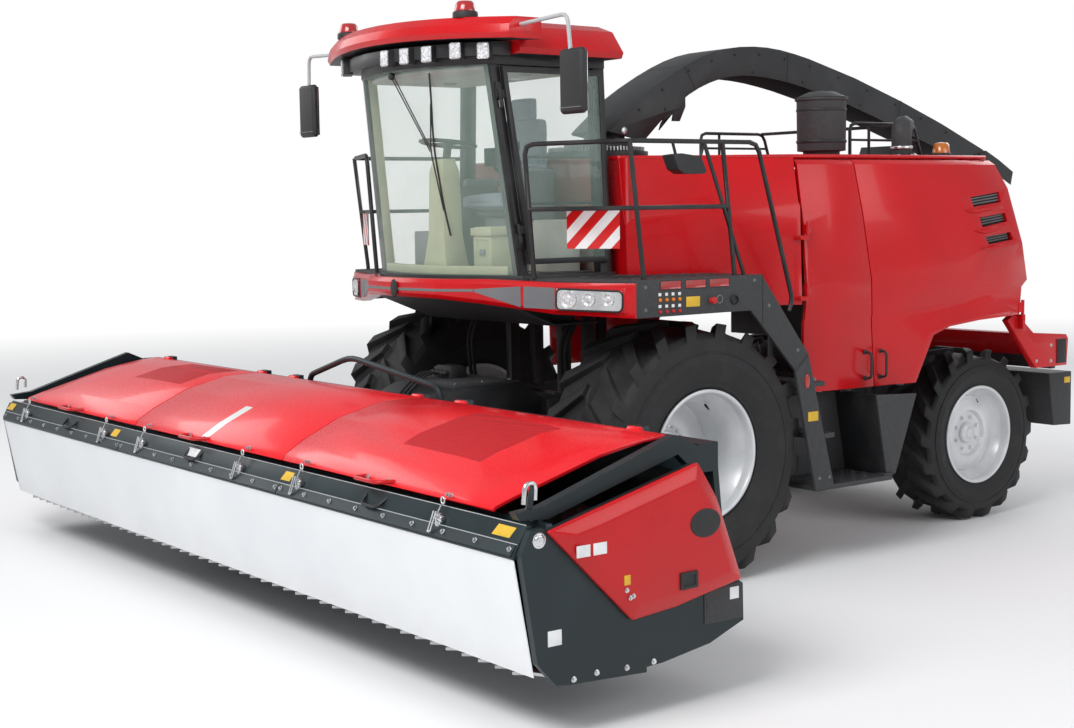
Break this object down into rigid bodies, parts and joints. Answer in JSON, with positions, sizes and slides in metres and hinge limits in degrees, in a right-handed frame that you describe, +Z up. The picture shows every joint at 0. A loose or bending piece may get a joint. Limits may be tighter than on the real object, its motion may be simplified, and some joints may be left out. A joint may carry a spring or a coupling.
{
  "type": "forage harvester",
  "caption": "Self-propelled forage harvester with a raised wide direct-cut header, glazed cab, rear-steered axle and a discharge spout laid back over the body.",
  "frame": {"origin": "on the ground under the middle of the machine's box", "axes": "+Z up; the machine faces -Y and its left side is +X, so the spout's end is at +Y"},
  "size_m": [7.5206, 8.312, 4.015],
  "materials": {
    "red_paint": "glossy red paint",
    "black_paint": "satin black paint",
    "speckled_grey": "speckled dark grey coating",
    "header_grey": "dark blue-grey paint",
    "rubber": "matte black rubber",
    "rim_paint": "silver-white paint",
    "steel": "bare steel",
    "glass": "green-tinted clear glass",
    "curtain_cloth": "coated white cloth",
    "cab_plastic": "grained beige plastic",
    "seat_cloth": "grey woven cloth"
  },
  "bodies": {
    "machine": {"main_frame": "black_paint", "front_axle": "black_paint", "rear_axle": "black_paint", "engine_block": "black_paint", "hood": "red_paint", "tail_panel": "red_paint", "rear_bumper": "red_paint", "rear_weight": "speckled_grey", "fender_left": "speckled_grey", "fender_right": "speckled_grey", "ladder": "speckled_grey", "railing_left": "black_paint", "railing_right": "black_paint", "cab_frame": "black_paint", "cab_roof": "red_paint", "windscreen": "glass", "side_window": "glass", "rear_window": "glass", "seat": "seat_cloth", "steering_column": "cab_plastic", "side_console": "cab_plastic", "mirror_left": "black_paint", "mirror_right": "black_paint", "nose_band": "red_paint", "air_intake": "speckled_grey", "exhaust_pipe": "speckled_grey", "deck_rail": "black_paint", "turret_base": "black_paint"},
    "front_wheel_left": {"front_tyre_left": "rubber", "front_rim_left": "rim_paint"},
    "rear_knuckle_left": {"knuckle_left": "black_paint"},
    "rear_wheel_left": {"rear_tyre_left": "rubber", "rear_rim_left": "rim_paint"},
    "front_wheel_right": {"front_tyre_right": "rubber", "front_rim_right": "rim_paint"},
    "rear_knuckle_right": {"knuckle_right": "black_paint"},
    "rear_wheel_right": {"rear_tyre_right": "rubber", "rear_rim_right": "rim_paint"},
    "feeder": {"feeder_housing": "black_paint", "header_frame": "header_grey", "cutter_bar": "steel", "side_shell_left": "red_paint", "side_shell_right": "red_paint"},
    "lift_barrel": {"lift_barrels": "black_paint"},
    "lift_rod": {"lift_rods": "steel"},
    "cover_right": {"cover_right": "red_paint"},
    "cover_centre": {"cover_centre": "red_paint"},
    "cover_left": {"cover_left": "red_paint"},
    "curtain": {"curtain_beam": "header_grey", "curtain": "curtain_cloth"},
    "auger": {"auger": "steel"},
    "spout_turret": {"spout_turret": "black_paint"},
    "spout": {"spout_arch": "black_paint"},
    "flap": {"spout_flap": "black_paint"},
    "cab_door": {"cab_door": "black_paint", "door_glass": "glass"},
    "front_door_left": {"front_door_left": "red_paint"},
    "rear_door_left": {"rear_door_left": "red_paint"},
    "front_door_right": {"front_door_right": "red_paint"},
    "rear_door_right": {"rear_door_right": "red_paint"}
  },
  "joints": [
    {"name": "front_wheel_left_spin", "type": "hinge", "parent": "machine", "child": "front_wheel_left", "pos_m": [1.362, -1.109, 0.915], "axis": [1, 0, 0], "continuous": true},
    {"name": "rear_steer_left", "type": "hinge", "parent": "machine", "child": "rear_knuckle_left", "pos_m": [0.82, 2.279, 0.707], "axis": [0, 0, 1], "range_deg": [-35, 35]},
    {"name": "rear_wheel_left_spin", "type": "hinge", "parent": "rear_knuckle_left", "child": "rear_wheel_left", "pos_m": [1.07, 2.279, 0.707], "axis": [1, 0, 0], "continuous": true},
    {"name": "front_wheel_right_spin", "type": "hinge", "parent": "machine", "child": "front_wheel_right", "pos_m": [-1.362, -1.109, 0.915], "axis": [1, 0, 0], "continuous": true},
    {"name": "rear_steer_right", "type": "hinge", "parent": "machine", "child": "rear_knuckle_right", "pos_m": [-0.82, 2.279, 0.707], "axis": [0, 0, 1], "range_deg": [-35, 35]},
    {"name": "rear_wheel_right_spin", "type": "hinge", "parent": "rear_knuckle_right", "child": "rear_wheel_right", "pos_m": [-1.07, 2.279, 0.707], "axis": [1, 0, 0], "continuous": true},
    {"name": "feeder_lift", "type": "hinge", "parent": "machine", "child": "feeder", "pos_m": [0, -1.459, 1.05], "axis": [-1, 0, 0], "range_deg": [-6, 18]},
    {"name": "lift_barrel_swing", "type": "hinge", "parent": "machine", "child": "lift_barrel", "pos_m": [0, -1.309, 0.58], "axis": [-1, 0, 0], "range_deg": [-5.3, 15.7]},
    {"name": "lift_rod_slide", "type": "slide", "parent": "lift_barrel", "child": "lift_rod", "axis": [0, -0.9946, -0.1042], "range_m": [-0.0493, 0.1477]},
    {"name": "cover_right_lid", "type": "hinge", "parent": "feeder", "child": "cover_right", "pos_m": [-2.2333, -2.909, 1.4], "axis": [-1, 0, 0], "range_deg": [0, 70]},
    {"name": "cover_centre_lid", "type": "hinge", "parent": "feeder", "child": "cover_centre", "pos_m": [0, -2.909, 1.4], "axis": [-1, 0, 0], "range_deg": [0, 70]},
    {"name": "cover_left_lid", "type": "hinge", "parent": "feeder", "child": "cover_left", "pos_m": [2.2333, -2.909, 1.4], "axis": [-1, 0, 0], "range_deg": [0, 70]},
    {"name": "curtain_swing", "type": "hinge", "parent": "feeder", "child": "curtain", "pos_m": [0, -4.04, 1.033], "axis": [-1, 0, 0], "range_deg": [0, 80]},
    {"name": "auger_spin", "type": "hinge", "parent": "feeder", "child": "auger", "pos_m": [0, -3.129, 0.72], "axis": [1, 0, 0], "continuous": true},
    {"name": "spout_turn", "type": "hinge", "parent": "machine", "child": "spout_turret", "pos_m": [0, -0.689, 3.05], "axis": [0, 0, 1], "range_deg": [-100, 100]},
    {"name": "spout_lift", "type": "hinge", "parent": "spout_turret", "child": "spout", "pos_m": [0, -0.609, 3.205], "axis": [1, 0, 0], "range_deg": [0, 25]},
    {"name": "spout_flap_tilt", "type": "hinge", "parent": "spout", "child": "flap", "pos_m": [0, 3.691, 3.04], "axis": [-1, 0, 0], "range_deg": [0, 40]},
    {"name": "cab_door_swing", "type": "hinge", "parent": "machine", "child": "cab_door", "pos_m": [0.91648, -2.06292, 2.245], "axis": [0.0466, 0.118, -0.9919], "range_deg": [0, 58]},
    {"name": "front_door_left_swing", "type": "hinge", "parent": "machine", "child": "front_door_left", "pos_m": [1.585, -0.009, 1.25], "axis": [0, 0, -1], "range_deg": [0, 80]},
    {"name": "rear_door_left_swing", "type": "hinge", "parent": "machine", "child": "rear_door_left", "pos_m": [1.57, 2.491, 1.7], "axis": [0, 0, 1], "range_deg": [0, 80]},
    {"name": "front_door_right_swing", "type": "hinge", "parent": "machine", "child": "front_door_right", "pos_m": [-1.585, -0.009, 1.25], "axis": [0, 0, 1], "range_deg": [0, 80]},
    {"name": "rear_door_right_swing", "type": "hinge", "parent": "machine", "child": "rear_door_right", "pos_m": [-1.57, 2.491, 1.7], "axis": [0, 0, -1], "range_deg": [0, 80]}
  ],
  "couplings": [
    {"joint": "rear_steer_right", "follows": "rear_steer_left", "ratio": 1},
    {"joint": "lift_barrel_swing", "follows": "feeder_lift", "ratio": 0.87},
    {"joint": "lift_rod_slide", "follows": "feeder_lift", "m_per_rad": 0.47}
  ]
}
